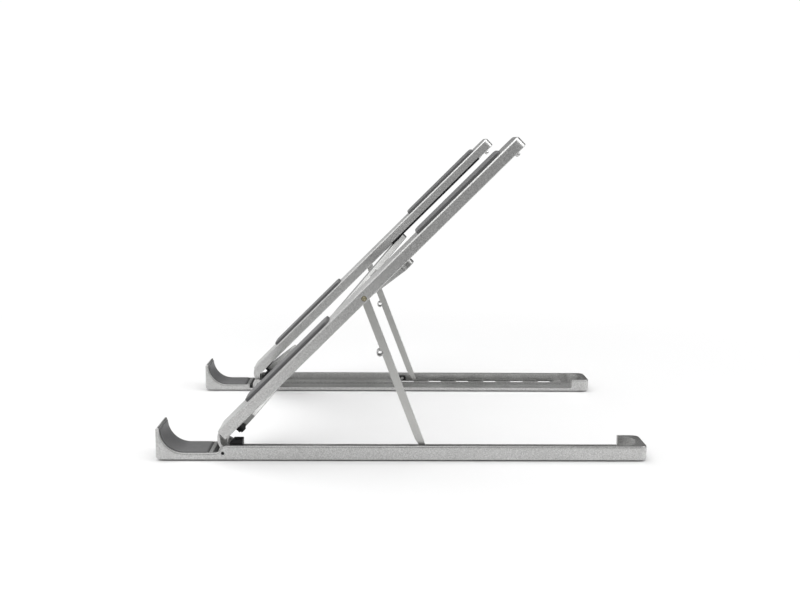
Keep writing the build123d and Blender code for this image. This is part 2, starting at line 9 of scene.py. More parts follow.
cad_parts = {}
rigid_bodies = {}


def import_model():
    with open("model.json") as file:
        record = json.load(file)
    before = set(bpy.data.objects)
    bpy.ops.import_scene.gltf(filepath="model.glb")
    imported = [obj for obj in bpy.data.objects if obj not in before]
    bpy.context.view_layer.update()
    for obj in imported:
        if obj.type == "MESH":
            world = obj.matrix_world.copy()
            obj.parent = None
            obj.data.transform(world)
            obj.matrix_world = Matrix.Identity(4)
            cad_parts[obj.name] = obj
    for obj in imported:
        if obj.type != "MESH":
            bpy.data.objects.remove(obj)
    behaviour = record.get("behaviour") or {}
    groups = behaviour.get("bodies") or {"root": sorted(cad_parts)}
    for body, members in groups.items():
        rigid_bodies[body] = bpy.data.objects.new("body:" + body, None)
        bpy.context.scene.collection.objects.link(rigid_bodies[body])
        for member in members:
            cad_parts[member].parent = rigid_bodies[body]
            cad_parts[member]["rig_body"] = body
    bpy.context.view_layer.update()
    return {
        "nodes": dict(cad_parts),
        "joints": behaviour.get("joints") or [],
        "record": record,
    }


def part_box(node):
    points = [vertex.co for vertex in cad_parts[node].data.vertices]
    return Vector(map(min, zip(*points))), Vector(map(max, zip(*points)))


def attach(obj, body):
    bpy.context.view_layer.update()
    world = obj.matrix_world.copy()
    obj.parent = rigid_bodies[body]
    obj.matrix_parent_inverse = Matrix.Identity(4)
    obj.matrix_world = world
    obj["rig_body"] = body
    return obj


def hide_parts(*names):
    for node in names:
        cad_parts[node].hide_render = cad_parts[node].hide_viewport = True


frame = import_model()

bl_info = {
    "name": "Folding laptop stand",
    "version": (1, 0, 0),
    "blender": (4, 5, 0),
    "location": "View3D > Sidebar > Stand",
    "description": "Pads, feet, fittings, finishes and studio for a folding aluminium laptop stand",
    "category": "Add Mesh",
}

MM = 0.001
# Points closer than this are one point
SAME_PLACE = 1e-7
# Faces that meet at less than this many degrees are shaded as one
SMOOTH = 35.0
TURNED_SMOOTH = 50.0
HALVES = ("right", "left")
ACROSS = Vector((0, 1, 0))

# Which way the parts lie at rest, from the joints' own limits
limits = {joint["name"]: math.radians(joint["range_deg"][1]) for joint in frame["joints"]}
arm_rise = limits["tilt"]
strut_lean = limits["strut_right_swing"] - arm_rise
ALONG_BASE = Vector((1, 0, 0))
ALONG_ARM = Vector((math.cos(arm_rise), 0, math.sin(arm_rise)))
ALONG_STRUT = Vector((math.cos(strut_lean), 0, -math.sin(strut_lean)))
SQUARE_TO_ARM = ALONG_ARM.cross(ACROSS)

node_slot = {part["node"]: part["material_slot"] for part in frame["record"]["subparts"]}
node_body = {name: node["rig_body"] for name, node in frame["nodes"].items()}


# ------------------------------------------------------------------ settings
class StandPadSettings(bpy.types.PropertyGroup):
    corner: FloatProperty(
        name="Pad corner", description="Corner radius of the arm pads, seen from above",
        default=3.0 * MM, unit="LENGTH")
    rim: FloatProperty(
        name="Pad rim", description="Rounding of the pads' upper edge",
        default=0.55 * MM, unit="LENGTH")
    crown: FloatProperty(
        name="Crown", description="How much the middle of an arm pad swells",
        default=0.18 * MM, unit="LENGTH")
    liner_rim: FloatProperty(
        name="Hook liner rim", description="Rounding of the hook liner's edges",
        default=0.3 * MM, unit="LENGTH")
    foot_corner: FloatProperty(
        name="Foot corner", description="Corner radius of the feet, seen from below",
        default=2.0 * MM, unit="LENGTH")
    foot_edge: FloatProperty(
        name="Foot edge", description="Rounding of the feet's lower edge",
        default=0.25 * MM, unit="LENGTH")
    foot_border: FloatProperty(
        name="Foot border", description="Width of the flat border round a sole",
        default=1.2 * MM, unit="LENGTH")
    foot_hollow: FloatProperty(
        name="Foot hollow", description="Depth and slope of the shallow hollow in a sole",
        default=0.2 * MM, unit="LENGTH")
    silicone: FloatVectorProperty(
        name="Silicone", description="Colour of the grey silicone",
        default=(0.1, 0.1, 0.102), subtype="COLOR")
    rubber: FloatVectorProperty(
        name="Rubber", description="Colour of the feet and catches",
        default=(0.035, 0.035, 0.036), subtype="COLOR")


class StandMetalSettings(bpy.types.PropertyGroup):
    body: FloatVectorProperty(
        name="Body", description="Colour of the blasted and anodised bases and arms",
        default=(0.53, 0.53, 0.524), subtype="COLOR")
    bars: FloatVectorProperty(
        name="Crossbars", description="Colour of the drawn crossbars",
        default=(0.35, 0.35, 0.345), subtype="COLOR")
    struts: FloatVectorProperty(
        name="Struts", description="Colour of the drawn struts",
        default=(0.5, 0.5, 0.487), subtype="COLOR")
    steel: FloatVectorProperty(
        name="Steel", description="Colour of the turned steel pins",
        default=(0.6, 0.6, 0.595), subtype="COLOR")
    brass: FloatVectorProperty(
        name="Brass", description="Colour of the dull strut rivets",
        default=(0.36, 0.33, 0.23), subtype="COLOR")
    black: FloatVectorProperty(
        name="Black", description="Colour of the black moulded and blackened parts",
        default=(0.011, 0.011, 0.012), subtype="COLOR")
    roughness: FloatProperty(
        name="Roughness", description="How satin the blasted aluminium is",
        default=0.35, min=0.0, max=1.0, subtype="FACTOR")
    grain: FloatProperty(
        name="Grain", description="Grains of the blasted surface per metre",
        default=2000.0, min=1.0)


class StandFittingSettings(bpy.types.PropertyGroup):
    edge: FloatProperty(
        name="Edge break", description="Rounding of the small moulded parts' edges",
        default=0.35 * MM, unit="LENGTH")
    turns: IntProperty(
        name="Turned steps", description="Steps round a turned part",
        default=40, min=12, max=128)
    rim_width: FloatProperty(
        name="Slot rim width", description="Width of the coined rims along the slots",
        default=0.8 * MM, unit="LENGTH")
    rim_height: FloatProperty(
        name="Slot rim height", description="How proud the slot rims stand",
        default=0.32 * MM, unit="LENGTH")
    pin_wall: FloatProperty(
        name="Roll pin wall", description="Wall of the rolled spring pin",
        default=0.55 * MM, unit="LENGTH")
    pin_gap: FloatProperty(
        name="Roll pin gap", description="Part of the turn that the spring pin leaves open",
        default=math.radians(42), subtype="ANGLE")
    buffer_nose: FloatProperty(
        name="Hinge block nose", description="Flat on the hinge block's upper front edge",
        default=1.9 * MM, unit="LENGTH")
    buffer_border: FloatProperty(
        name="Hinge block border", description="Border round the hinge block's relief",
        default=1.0 * MM, unit="LENGTH")
    buffer_hollow: FloatProperty(
        name="Hinge block relief", description="Depth of the relief in the hinge block's side",
        default=0.5 * MM, unit="LENGTH")


class StandStageSettings(bpy.types.PropertyGroup):
    lens: FloatProperty(name="Lens", description="Focal length in millimetres", default=46.13)
    camera_place: FloatVectorProperty(
        name="Camera", description="Where the camera stands",
        default=(-0.0123, -0.58865, 0.15865), subtype="TRANSLATION", unit="LENGTH")
    yaw: FloatProperty(
        name="Yaw", description="Turn of the camera towards +X", default=0.0201, subtype="ANGLE")
    pitch: FloatProperty(
        name="Pitch", description="How far the camera looks down", default=0.1495, subtype="ANGLE")
    roll: FloatProperty(name="Roll", description="Roll of the camera", default=0.0078, subtype="ANGLE")
    floor: FloatProperty(
        name="Floor", description="Side of the pale floor", default=8.0, unit="LENGTH")
    pale: FloatVectorProperty(
        name="Pale", description="Colour of the floor", default=(0.85, 0.85, 0.85), subtype="COLOR")


# ------------------------------------------------------------------ shader helpers
def add(tree, kind, values=None, **settings):
    """One node: settings are its properties, values its inputs, either constants or sockets."""
    node = tree.nodes.new(kind)
    for key, value in settings.items():
        setattr(node, key, value)
    for key, value in (values or {}).items():
        if isinstance(value, bpy.types.NodeSocket):
            tree.links.new(value, node.inputs[key])
        else:
            node.inputs[key].default_value = value
    return node


def maths(tree, operation, *terms):
    """The output of one Math node."""
    return add(tree, "ShaderNodeMath", dict(enumerate(terms)), operation=operation).outputs[0]


def centred(tree, value, weight):
    """A value from 0 to 1 weighted and moved to lie about 0."""
    return maths(tree, "MULTIPLY_ADD", value, weight, -weight / 2)


def eased(tree, value, start, end, low=0.0, high=1.0):
    """A soft step: low where the value is before start, high where it is past end."""
    return add(tree, "ShaderNodeMapRange", {
        "Value": value, "From Min": start, "From Max": end, "To Min": low, "To Max": high},
        interpolation_type="SMOOTHSTEP").outputs[0]


def new_group(name, inputs, outputs):
    """An empty shader group with named sockets, and its input and output nodes."""
    group = bpy.data.node_groups.new(name, "ShaderNodeTree")
    for label, kind, value in inputs:
        socket = group.interface.new_socket(label, in_out="INPUT", socket_type=kind)
        if value is not None:
            socket.default_value = value
    for label in outputs:
        group.interface.new_socket(label, in_out="OUTPUT", socket_type="NodeSocketFloat")
    return group, group.nodes.new("NodeGroupInput").outputs, group.nodes.new("NodeGroupOutput").inputs


def blasted_grain():
    """Fine even grain of a bead-blasted surface, with single bright and dark grains."""
    group, given, out = new_group(
        "Blasted grain",
        [("Vector", "NodeSocketVector", None), ("Scale", "NodeSocketFloat", 1500.0),
         ("Contrast", "NodeSocketFloat", 1.0)],
        ["Tone", "Height"])
    fine = add(group, "ShaderNodeTexNoise", {
        "Vector": given["Vector"], "Scale": given["Scale"], "Detail": 2.0, "Roughness": 0.6})
    coarse = add(group, "ShaderNodeTexNoise", {
        "Vector": given["Vector"],
        "Scale": maths(group, "MULTIPLY", given["Scale"], 0.6), "Detail": 1.0})
    grains = add(group, "ShaderNodeTexVoronoi", {
        "Vector": given["Vector"], "Scale": maths(group, "MULTIPLY", given["Scale"], 1.3)})
    shade = add(group, "ShaderNodeSeparateColor", {"Color": grains.outputs["Color"]})
    noisy = centred(group, fine.outputs[0], 1.2)
    patchy = centred(group, coarse.outputs[0], 0.35)
    single = centred(group, shade.outputs[0], 0.5)
    summed = maths(group, "ADD", maths(group, "ADD", noisy, patchy), single)
    tone = maths(group, "MULTIPLY_ADD", summed, given["Contrast"], 0.5)
    group.links.new(tone, out["Tone"])
    group.links.new(fine.outputs[0], out["Height"])
    return group


def drawn_lines():
    """Fine lines along local X, as drawing through a die leaves them."""
    group, given, out = new_group(
        "Drawn lines",
        [("Vector", "NodeSocketVector", None), ("Scale", "NodeSocketFloat", 1800.0),
         ("Stretch", "NodeSocketFloat", 0.03)],
        ["Tone", "Height"])
    stretch = add(group, "ShaderNodeCombineXYZ", {"X": given["Stretch"], "Y": 1.0, "Z": 1.0})
    squeezed = add(group, "ShaderNodeVectorMath", {
        0: given["Vector"], 1: stretch.outputs[0]}, operation="MULTIPLY")
    lines = add(group, "ShaderNodeTexNoise", {
        "Vector": squeezed.outputs[0], "Scale": given["Scale"], "Detail": 3.0, "Roughness": 0.65})
    group.links.new(lines.outputs[0], out["Tone"])
    group.links.new(lines.outputs[0], out["Height"])
    return group


def painted_edge_highlight():
    """Mask that is 1 on outer and inner edges, broken into patches, for painting highlights along
    them.
    """
    group, given, out = new_group(
        "Painted edge highlight",
        [("Radius", "NodeSocketFloat", 0.0004), ("Strength", "NodeSocketFloat", 6.0),
         ("Breaks", "NodeSocketFloat", 0.5)],
        ["Mask"])
    rounded = add(group, "ShaderNodeBevel", {"Radius": given["Radius"]}, samples=6)
    surface = add(group, "ShaderNodeNewGeometry")
    meeting = add(group, "ShaderNodeVectorMath", {
        0: rounded.outputs[0], 1: surface.outputs["Normal"]}, operation="DOT_PRODUCT")
    bent = maths(group, "SUBTRACT", 1.0, meeting.outputs["Value"])
    strong = maths(group, "MULTIPLY", bent, given["Strength"])
    patches = add(group, "ShaderNodeTexNoise", {
        "Vector": add(group, "ShaderNodeTexCoord").outputs["Object"], "Scale": 260.0, "Detail": 3.0})
    uneven = maths(group, "MULTIPLY_ADD", patches.outputs[0], given["Breaks"], 0.75)
    mask = add(group, "ShaderNodeMath", {
        0: strong, 1: uneven}, operation="MULTIPLY", use_clamp=True)
    group.links.new(mask.outputs[0], out["Mask"])
    return group


def handling():
    """Broad soft patches where hands leave a surface a little glossier."""
    group, given, out = new_group(
        "Handling",
        [("Vector", "NodeSocketVector", None), ("Scale", "NodeSocketFloat", 45.0)], ["Mask"])
    soft = add(group, "ShaderNodeTexNoise", {
        "Vector": given["Vector"], "Scale": given["Scale"], "Detail": 4.0, "Distortion": 0.6})
    group.links.new(eased(group, soft.outputs[0], 0.35, 0.68), out["Mask"])
    return group


def moulded_skin():
    """Fine matt skin of a moulded part, with a few specks of dust."""
    group, given, out = new_group(
        "Moulded skin",
        [("Vector", "NodeSocketVector", None), ("Scale", "NodeSocketFloat", 1200.0)],
        ["Tone", "Height", "Dust"])
    skin = add(group, "ShaderNodeTexNoise", {
        "Vector": given["Vector"], "Scale": given["Scale"], "Detail": 3.0, "Roughness": 0.7})
    pits = add(group, "ShaderNodeTexVoronoi", {
        "Vector": given["Vector"], "Scale": maths(group, "MULTIPLY", given["Scale"], 0.7)})
    tone = maths(group, "ADD", maths(group, "MULTIPLY", skin.outputs[0], 0.7),
                  maths(group, "MULTIPLY", pits.outputs["Distance"], 0.4))
    specks = add(group, "ShaderNodeTexNoise", {
        "Vector": given["Vector"],
        "Scale": maths(group, "MULTIPLY", given["Scale"], 0.9), "Detail": 4.0})
    dust = add(group, "ShaderNodeMapRange", {
        "Value": specks.outputs[0], "From Min": 0.66, "From Max": 0.74})
    group.links.new(tone, out["Tone"])
    group.links.new(pits.outputs["Distance"], out["Height"])
    group.links.new(dust.outputs[0], out["Dust"])
    return group


def shared(name):
    """A shared group, built the first time it is asked for."""
    makers = {"Blasted grain": blasted_grain, "Drawn lines": drawn_lines,
              "Painted edge highlight": painted_edge_highlight, "Handling": handling, "Moulded skin": moulded_skin}
    return bpy.data.node_groups.get(name) or makers[name]()


def use(tree, name, **values):
    """A shared group placed in a material, with its own values."""
    return add(tree, "ShaderNodeGroup", values, node_tree=shared(name)).outputs


def mixed(tree, factor, low, high):
    """A colour between two others."""
    node = add(tree, "ShaderNodeMix", data_type="RGBA")
    tree.links.new(factor, node.inputs[0])
    for socket, colour in ((node.inputs[6], low), (node.inputs[7], high)):
        if isinstance(colour, bpy.types.NodeSocket):
            tree.links.new(colour, socket)
        else:
            socket.default_value = (*colour, 1.0)
    return node.outputs[2]


def ranged(tree, value, low, high):
    """A value from 0 to 1 brought between two others."""
    return add(tree, "ShaderNodeMapRange", {
        "Value": value, "To Min": low, "To Max": high}).outputs[0]


def scaled(colour, factor):
    """A darker or brighter colour, up to white."""
    return tuple(min(1.0, channel * factor) for channel in colour)


def new_material(name, turned=None):
    """A material with a Principled shader, and Object coordinates turned to the piece's run."""
    material = bpy.data.materials.new(name)
    material.use_nodes = True
    tree = material.node_tree
    shader = tree.nodes["Principled BSDF"]
    place = add(tree, "ShaderNodeTexCoord").outputs["Object"]
    if turned is not None:
        mapping = add(tree, "ShaderNodeMapping", {"Vector": place}, vector_type="POINT")
        mapping.inputs["Rotation"].default_value = turned
        place = mapping.outputs[0]
    return material, tree, shader, place


def raise_surface(tree, shader, height, strength, distance):
    """Bump under the shader's normal."""
    bump = add(tree, "ShaderNodeBump", {"Height": height, "Strength": strength, "Distance": distance})
    tree.links.new(bump.outputs[0], shader.inputs["Normal"])


def set_finish(tree, shader, colour, roughness, **values):
    """Gives the shader its colour and roughness sockets, and its other values."""
    tree.links.new(colour, shader.inputs["Base Color"])
    tree.links.new(roughness, shader.inputs["Roughness"])
    for key, value in values.items():
        shader.inputs[key].default_value = value


def turn_to(run):
    """Rotation that brings a run in the stand's own frame to local X."""
    return Vector(run).rotation_difference(Vector((1, 0, 0))).to_euler()


# ------------------------------------------------------------------ materials
# Colour of the dust on moulded parts
DUST = (0.4, 0.39, 0.37)


def blasted_aluminium(name, metal):
    """Bead-blasted and anodised: an even sparkle of grain, satin where hands have been."""
    material, tree, shader, place = new_material(name)
    grain = use(tree, "Blasted grain", Vector=place, Scale=metal.grain, Contrast=1.2)
    hands = use(tree, "Handling", Vector=place, Scale=38.0)
    edges = use(tree, "Painted edge highlight", Radius=0.35 * MM, Strength=5.0)
    base = mixed(tree, grain["Tone"], scaled(metal.body, 0.7), scaled(metal.body, 1.27))
    # Painted highlight: the edges are made lighter than the blasted faces
    bright = mixed(tree, edges["Mask"], base, scaled(metal.body, 1.3))
    rough = ranged(tree, hands["Mask"], metal.roughness + 0.05, metal.roughness - 0.03)
    set_finish(tree, shader, bright, rough, Metallic=1.0)
    raise_surface(tree, shader, grain["Height"], strength=0.35, distance=0.04 * MM)
    return material


def drawn_aluminium(name, colour, run):
    """Drawn bar: fine lines along the run under a faint grain."""
    material, tree, shader, place = new_material(name, turn_to(run))
    lines = use(tree, "Drawn lines", Vector=place, Scale=1900.0, Stretch=0.035)
    grain = use(tree, "Blasted grain", Vector=place, Scale=1700.0, Contrast=0.25)
    hands = use(tree, "Handling", Vector=place, Scale=60.0)
    edges = use(tree, "Painted edge highlight", Radius=0.3 * MM, Strength=5.0)
    faint = maths(tree, "MULTIPLY", grain["Tone"], 0.4)
    tone = maths(tree, "MULTIPLY_ADD", lines["Tone"], 0.6, faint)
    base = mixed(tree, tone, scaled(colour, 0.84), scaled(colour, 1.14))
    # Painted highlight: the edges are made lighter than the drawn faces
    bright = mixed(tree, edges["Mask"], base, scaled(colour, 1.3))
    set_finish(tree, shader, bright, ranged(tree, hands["Mask"], 0.4, 0.32), Metallic=1.0)
    raise_surface(tree, shader, lines["Height"], strength=0.12, distance=0.03 * MM)
    return material


def turned_metal(name, colour, roughness, metallic=1.0):
    """Small turned or pressed metal parts, with painted highlights on their edges."""
    material, tree, shader, place = new_material(name)
    grain = use(tree, "Blasted grain", Vector=place, Scale=4200.0, Contrast=0.8)
    hands = use(tree, "Handling", Vector=place, Scale=500.0)
    edges = use(tree, "Painted edge highlight", Radius=0.12 * MM, Strength=4.0)
    base = mixed(tree, grain["Tone"], scaled(colour, 0.7), scaled(colour, 1.25))
    # Painted highlight: the edges are made much lighter than the rest
    bright = mixed(tree, edges["Mask"], base, scaled(colour, 1.7))
    rough = ranged(tree, hands["Mask"], roughness + 0.08, roughness - 0.06)
    set_finish(tree, shader, bright, rough, Metallic=metallic)
    raise_surface(tree, shader, grain["Height"], strength=0.2, distance=0.02 * MM)
    return material


def moulded(name, colour, roughness, scale, dust, specular):
    """Silicone, rubber or plastic: a matt moulded skin with painted highlights on the edges and a
    little dust.
    """
    material, tree, shader, place = new_material(name)
    skin = use(tree, "Moulded skin", Vector=place, Scale=scale)
    hands = use(tree, "Handling", Vector=place, Scale=90.0)
    edges = use(tree, "Painted edge highlight", Radius=0.3 * MM, Strength=3.0)
    base = mixed(tree, skin["Tone"], scaled(colour, 0.78), scaled(colour, 1.22))
    # Painted highlight: a faint lightening along the edges
    edge_highlit = mixed(tree, maths(tree, "MULTIPLY", edges["Mask"], 0.2), base, scaled(colour, 2.0))
    dusty = mixed(tree, maths(tree, "MULTIPLY", skin["Dust"], dust), edge_highlit, DUST)
    rough = ranged(tree, hands["Mask"], roughness + 0.06, roughness - 0.05)
    set_finish(tree, shader, dusty, rough, **{"Specular IOR Level": specular})
    raise_surface(tree, shader, skin["Height"], strength=0.3, distance=0.04 * MM)
    return material


def material_for(slot, node=""):
    """The finish of a record slot; drawn bars and struts get lines along their own run."""
    metal, pads = bpy.context.scene.stand_metal, bpy.context.scene.stand_pads
    if slot == "bar_aluminium":
        name = "Drawn aluminium, " + node.replace("_", " ")
    else:
        name = slot.replace("_", " ").capitalize()
    if name in bpy.data.materials:
        return bpy.data.materials[name]
    if slot == "body_aluminium":
        return blasted_aluminium(name, metal)
    if slot == "bar_aluminium":
        return drawn_aluminium(name, metal.bars, bar_run(node[-1]))
    if slot == "strut_aluminium":
        return drawn_aluminium(name, metal.struts, ALONG_STRUT)
    if slot == "pad_silicone":
        return moulded(name, pads.silicone, roughness=0.5, scale=1500.0, dust=0.25, specular=0.6)
    if slot == "foot_rubber":
        return moulded(name, pads.rubber, roughness=0.7, scale=1100.0, dust=0.3, specular=0.3)
    if slot == "black_plastic":
        return moulded(name, metal.black, roughness=0.45, scale=2200.0, dust=0.2, specular=0.25)
    if slot == "pin_steel":
        return turned_metal(name, metal.steel, roughness=0.3)
    if slot == "black_steel":
        return turned_metal(name, scaled(metal.black, 1.6), roughness=0.38, metallic=0.6)
    return turned_metal(name, metal.brass, roughness=0.36)


# ------------------------------------------------------------------ modelling helpers
def spread_of(node, axis):
    """Lowest and highest place of a CAD node along an axis."""
    places = [vertex.co.dot(axis) for vertex in frame["nodes"][node].data.vertices]
    return min(places), max(places)


def seat(node, run, across=ACROSS):
    """Where a CAD node sits: a matrix at its middle with X along the run, and its three sizes."""
    axes = (run, across, run.cross(across))
    spreads = [spread_of(node, axis) for axis in axes]
    middle = sum((axis * (low + high) / 2 for axis, (low, high) in zip(axes, spreads)), Vector())
    sizes = Vector([high - low for low, high in spreads])
    return Matrix.Translation(middle) @ Matrix(axes).transposed().to_4x4(), sizes


def middle_of(node):
    """Middle of a CAD node's box."""
    low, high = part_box(node)
    return (low + high) / 2


def bar_run(which):
    """Direction of a crossbar, from its capped end to its slider."""
    run = middle_of(f"crossbar_{which}_slider") - middle_of(f"crossbar_{which}_cap")
    return (run - SQUARE_TO_ARM * run.dot(SQUARE_TO_ARM)).normalized()


def block(size):
    """A bmesh block of that size about the origin."""
    bm = bmesh.new()
    bmesh.ops.create_cube(bm, size=1.0)
    bmesh.ops.scale(bm, vec=size, verts=bm.verts)
    return bm


def round_edges(bm, edges, radius, segments):
    """Rounds edges, or with one segment cuts them to a flat."""
    bmesh.ops.bevel(bm, geom=list(edges), offset=radius, offset_type="OFFSET", segments=segments,
                    profile=0.5, affect="EDGES", material=-1, clamp_overlap=True)


def upright(bm, axis=2):
    """Edges that run along one local axis."""
    others = [k for k in range(3) if k != axis]
    return [e for e in bm.edges
            if all(abs(e.verts[0].co[k] - e.verts[1].co[k]) < SAME_PLACE for k in others)]


def creases(bm, degrees):
    """Edges between two faces that meet more sharply than that."""
    return [e for e in bm.edges if e.is_manifold and e.calc_face_angle() > math.radians(degrees)]


def widen(bm, width):
    """Makes a flat outline a solid, drawn out that far along local Y."""
    side = bmesh.ops.extrude_face_region(bm, geom=bm.faces)["geom"]
    moved = [v for v in side if isinstance(v, bmesh.types.BMVert)]
    bmesh.ops.translate(bm, vec=(0, width, 0), verts=moved)
    bmesh.ops.recalc_face_normals(bm, faces=bm.faces)


def level(bm, side, axis=2):
    """The large flat face furthest to the high (1) or low (-1) side of a local axis."""
    return max(bm.faces, key=lambda f: (side * f.calc_center_median()[axis]) + f.calc_area() * 1e-3)


def turned(profile, steps):
    """A turned part about local Z from a profile of (radius, height), low end first."""
    bm = bmesh.new()
    verts = [bm.verts.new((radius, 0, height)) for radius, height in profile]
    edges = [bm.edges.new(pair) for pair in zip(verts, verts[1:])]
    bmesh.ops.spin(bm, geom=verts + edges, cent=(0, 0, 0), axis=(0, 0, 1), angle=2 * math.pi,
                   steps=steps, use_merge=True)
    bmesh.ops.remove_doubles(bm, verts=bm.verts, dist=SAME_PLACE)
    return bm


def placed(bm, name, node, matrix=None, smooth=SMOOTH, detail_slot=None):
    """Ends a piece: puts it in place and lets it stand for its CAD node, or adds it as a detail."""
    bmesh.ops.recalc_face_normals(bm, faces=bm.faces)
    if matrix is not None:
        bmesh.ops.transform(bm, matrix=matrix, verts=bm.verts)
    mesh = bpy.data.meshes.new(name)
    bm.to_mesh(mesh)
    bm.free()
    for polygon in mesh.polygons:
        polygon.use_smooth = True
    mesh.set_sharp_from_angle(angle=math.radians(smooth))
    piece = bpy.data.objects.new(name, mesh)
    bpy.context.scene.collection.objects.link(piece)
    slot = detail_slot or node_slot[node]
    mesh.materials.append(material_for(slot, node))
    if detail_slot is None:
        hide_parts(node)
    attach(piece, node_body[node])
    return piece


def coat(names):
    """Gives CAD nodes that keep their own shape the finish of their slot."""
    for name in names:
        materials = frame["nodes"][name].data.materials
        materials.clear()
        materials.append(material_for(node_slot[name], name))


# ------------------------------------------------------------------ operators
class STAND_OT_metalwork(bpy.types.Operator):
    """Finishes the bases, arms, struts and crossbars"""
    bl_idname = "stand.metalwork"
    bl_label = "Metalwork"

    def execute(self, context):
        coat([f"{half}_{part}" for half in HALVES for part in ("base", "arm", "strut")])
        coat(["crossbar_a", "crossbar_b"])
        return {"FINISHED"}


# The hook liner's underside and top, in mm back from the hook's front and up from the floor:
# a flat from start to bend, then an arc about centre up the inside of the hook
LINER_SIDES = (
    {"start": (26.6, 3.0), "bend": (14.6, 3.0), "centre": (14.131, 16.324), "degrees": 91.05},
    {"start": (25.4, 4.5), "bend": (14.6, 4.5), "centre": (14.426, 16.637), "degrees": 88.29},
)
LINER_STEPS = 28


class STAND_OT_hook_liners(bpy.types.Operator):
    """Makes the silicone liners in the two front hooks"""
    bl_idname = "stand.hook_liners"
    bl_label = "Hook liners"

    def execute(self, context):
        pads = context.scene.stand_pads
        for half in HALVES:
            node = f"{half}_hook_pad"
            low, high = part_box(node)
            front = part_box(f"{half}_base")[0].x
            bm = bmesh.new()
            for side in LINER_SIDES:
                start, bend, centre = [(front + back * MM, low.y, up * MM) for back, up in (
                    side["start"], side["bend"], side["centre"])]
                first = bm.verts.new(start)
                grown = bmesh.ops.extrude_vert_indiv(bm, verts=[first])["verts"][0]
                grown.co = bend
                bmesh.ops.spin(bm, geom=[grown], cent=centre, axis=(0, 1, 0),
                               angle=math.radians(side["degrees"]), steps=LINER_STEPS)
            bmesh.ops.remove_doubles(bm, verts=bm.verts, dist=SAME_PLACE)
            bmesh.ops.bridge_loops(bm, edges=bm.edges)
            widen(bm, high.y - low.y)
            round_edges(bm, creases(bm, 40), pads.liner_rim, 3)
            liner = placed(bm, f"{half}_hook_liner", node)
        return {"FINISHED"}


# The swell of an arm pad, from its rim inwards: how far in each step goes, and its share of the crown
CROWN_STEPS = ((0.5 * MM, 0.45), (0.7 * MM, 0.35), (0.9 * MM, 0.2))


class STAND_OT_arm_pads(bpy.types.Operator):
    """Makes the four silicone pads on the arms"""
    bl_idname = "stand.arm_pads"
    bl_label = "Arm pads"

    def execute(self, context):
        pads = context.scene.stand_pads
        for half in HALVES:
            for place in ("lower", "upper"):
                node = f"{half}_{place}_pad"
                matrix, size = seat(node, ALONG_ARM)
                bm = block(size)
                round_edges(bm, upright(bm), pads.corner, 8)
                round_edges(bm, level(bm, 1).edges, pads.rim, 4)
                for inset, share in CROWN_STEPS:
                    bmesh.ops.inset_region(bm, faces=[level(bm, 1)], thickness=inset,
                                           depth=pads.crown * share, use_even_offset=True)
                pad = placed(bm, f"{half}_{place}_rest", node, matrix)
        return {"FINISHED"}


class STAND_OT_feet(bpy.types.Operator):
    """Makes the rubber feet under the bases"""
    bl_idname = "stand.feet"
    bl_label = "Feet"

    def execute(self, context):
        pads = context.scene.stand_pads
        for half in HALVES:
            for place in ("front", "rear"):
                node = f"{half}_{place}_foot"
                matrix, size = seat(node, ALONG_BASE)
                bm = block(size)
                round_edges(bm, upright(bm), pads.foot_corner, 6)
                round_edges(bm, level(bm, -1).edges, pads.foot_edge, 3)
                bmesh.ops.inset_region(bm, faces=[level(bm, -1)], thickness=pads.foot_border, depth=0)
                bmesh.ops.inset_region(bm, faces=[level(bm, -1)], thickness=pads.foot_hollow,
                                       depth=-pads.foot_hollow)
                placed(bm, f"{half}_{place}_sole", node, matrix)
        return {"FINISHED"}


class STAND_OT_catches(bpy.types.Operator):
    """Makes the round catches under the arm tips"""
    bl_idname = "stand.catches"
    bl_label = "Tip catches"

    def execute(self, context):
        steps = context.scene.stand_fittings.turns
        for half in HALVES:
            node = f"{half}_tip_bumper"
            matrix, size = seat(node, ALONG_ARM)
            radius, reach = size.x / 2, size.z / 2
            profile = [(0, -reach + 0.35 * MM), (0.3 * radius, -reach + 0.3 * MM),
                       (0.42 * radius, -reach + 0.02 * MM), (0.6 * radius, -reach),
                       (0.82 * radius, -reach + 0.18 * MM), (0.95 * radius, -reach + 0.45 * MM),
                       (radius, -reach + 0.85 * MM), (radius, reach), (0, reach)]
            placed(turned(profile, steps), f"{half}_tip_catch", node, matrix, TURNED_SMOOTH)
        return {"FINISHED"}


